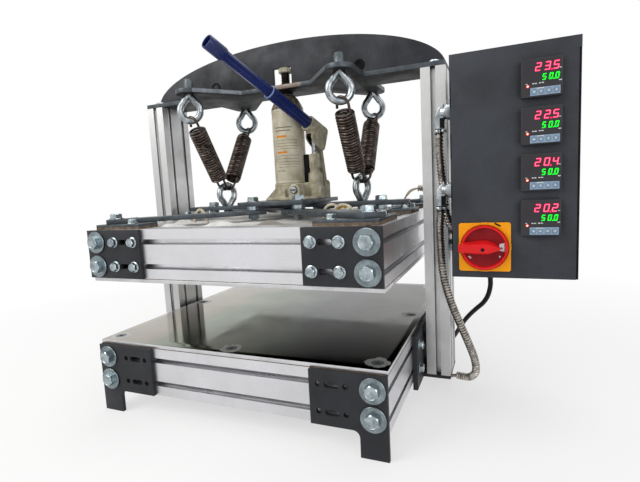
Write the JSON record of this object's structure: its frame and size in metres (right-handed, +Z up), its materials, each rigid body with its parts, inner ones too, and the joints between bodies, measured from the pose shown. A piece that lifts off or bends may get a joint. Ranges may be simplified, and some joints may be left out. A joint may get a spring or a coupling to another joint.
{
  "type": "heated sheet press",
  "caption": "Bench sheet press with two heated platens in slotted-profile frames, a bottle jack with pump handle, return springs and a side control box.",
  "frame": {"origin": "on the floor, under the middle of the bounding box of everything but the mains cord", "axes": "+Z up, +X to the control box, +Y to the back"},
  "size_m": [0.795, 0.7285, 0.65],
  "materials": {
    "profile": "natural anodised",
    "black_steel": "black powder coat",
    "zinc": "zinc plated",
    "platen": "bright rolled",
    "gasket": "brown mica board",
    "dark_screws": "satin",
    "heater": "mica strip",
    "dark_steel": "blackened mill scale",
    "box_paint": "matte charcoal powder coat",
    "black_plastic": "moulded",
    "display": "tinted window",
    "keypad": "silicone pad",
    "yellow_plastic": "moulded",
    "red_plastic": "moulded",
    "relay": "moulded",
    "conduit": "interlocked strip",
    "cord_rubber": "sheathed",
    "wool": "mineral wool",
    "lead": "braided glass sleeve",
    "spring_steel": "oiled",
    "jack_paint": "worn beige paint",
    "jack_steel": "greasy",
    "blue_paint": "gloss enamel"
  },
  "bodies": {
    "frame": {"base_beams": "profile", "posts": "profile", "base_corner_plates": "black_steel", "post_brackets": "black_steel", "frame_bolts": "zinc", "upper_eyebolts": "zinc", "box_spacers": "zinc", "conduit_elbows": "zinc", "lower_platen": "platen", "lower_gasket": "gasket", "lower_platen_screws": "dark_screws", "lower_heaters": "heater", "beam_plate": "dark_steel", "arch_plate": "dark_steel", "control_tray": "box_paint", "control_panel": "box_paint", "controllers": "black_plastic", "switch_body": "black_plastic", "controller_windows": "display", "switch_plate": "yellow_plastic", "relays": "relay", "lower_conduit": "conduit", "upper_conduit": "conduit", "mains_gland": "cord_rubber", "mains_cord": "cord_rubber", "mains_cord_coil": "cord_rubber", "mains_plug": "cord_rubber", "spring_front_left": "spring_steel", "spring_front_right": "spring_steel", "spring_back_left": "spring_steel", "spring_back_right": "spring_steel"},
    "platen": {"platen_beams": "profile", "platen_corner_plates": "black_steel", "platen_bolts": "zinc", "upper_platen": "platen", "platen_gaskets": "gasket", "upper_heaters": "heater", "insulation": "wool", "heater_leads": "lead", "pad_plates": "dark_steel", "spider_arms": "dark_steel", "cross_bar": "dark_steel", "centre_plate": "dark_steel", "lower_eyebolts": "zinc", "jack_base": "jack_paint", "jack_tank": "jack_paint", "jack_cap_nut": "jack_paint", "pump_body": "jack_paint"},
    "release_valve": {"release_valve": "jack_steel"},
    "pump_piston": {"pump_piston": "jack_steel"},
    "pump_link": {"pump_link": "jack_steel"},
    "pump_lever": {"pump_socket": "jack_paint", "handle": "blue_paint"},
    "jack_ram": {"jack_ram": "jack_steel"},
    "extension_screw": {"extension_screw": "jack_steel"},
    "switch_knob": {"switch_knob": "red_plastic"},
    "keypad_1": {"keypad_1": "keypad"},
    "keypad_2": {"keypad_2": "keypad"},
    "keypad_3": {"keypad_3": "keypad"},
    "keypad_4": {"keypad_4": "keypad"}
  },
  "joints": [
    {"name": "platen_slide", "type": "slide", "parent": "frame", "child": "platen", "axis": [0, 0, 1], "range_m": [-0.1035, 0], "stiffness_N_per_m": 5000, "springref_m": 0.09, "deforming": ["spring_front_left", "spring_front_right", "spring_back_left", "spring_back_right", "upper_conduit"]},
    {"name": "ram_slide", "type": "slide", "parent": "platen", "child": "jack_ram", "axis": [0, 0, 1], "range_m": [0, 0.1035]},
    {"name": "screw_extension", "type": "slide", "parent": "jack_ram", "child": "extension_screw", "axis": [0, 0, 1], "range_m": [-0.021, 0]},
    {"name": "link_swing", "type": "hinge", "parent": "platen", "child": "pump_link", "pos_m": [-0.02334, 0.02255, 0.376], "axis": [-0.9397, 0.342, 0], "range_deg": [-1, 4]},
    {"name": "pump_lever", "type": "hinge", "parent": "pump_link", "child": "pump_lever", "pos_m": [-0.02676, 0.01316, 0.448], "axis": [-0.9397, 0.342, 0], "range_deg": [-45, 10]},
    {"name": "pump_stroke", "type": "slide", "parent": "platen", "child": "pump_piston", "axis": [0, 0, 1], "range_m": [-0.0135, 0.0035]},
    {"name": "release_valve_turn", "type": "hinge", "parent": "platen", "child": "release_valve", "pos_m": [-0.05655, -0.048, 0.3665], "axis": [0, -1, 0], "range_deg": [0, 360]},
    {"name": "switch_turn", "type": "hinge", "parent": "frame", "child": "switch_knob", "pos_m": [0.28145, -0.14605, 0.273], "axis": [0, -1, 0], "range_deg": [0, 90]},
    {"name": "keypad_1_press", "type": "slide", "parent": "frame", "child": "keypad_1", "axis": [0, 1, 0], "range_m": [0, 0.0008], "stiffness_N_per_m": 400},
    {"name": "keypad_2_press", "type": "slide", "parent": "frame", "child": "keypad_2", "axis": [0, 1, 0], "range_m": [0, 0.0008], "stiffness_N_per_m": 400},
    {"name": "keypad_3_press", "type": "slide", "parent": "frame", "child": "keypad_3", "axis": [0, 1, 0], "range_m": [0, 0.0008], "stiffness_N_per_m": 400},
    {"name": "keypad_4_press", "type": "slide", "parent": "frame", "child": "keypad_4", "axis": [0, 1, 0], "range_m": [0, 0.0008], "stiffness_N_per_m": 400}
  ],
  "couplings": [
    {"joint": "ram_slide", "follows": "platen_slide", "ratio": -1},
    {"joint": "link_swing", "follows": "pump_lever", "ratio": -0.085},
    {"joint": "pump_stroke", "follows": "pump_lever", "m_per_rad": 0.0165}
  ]
}
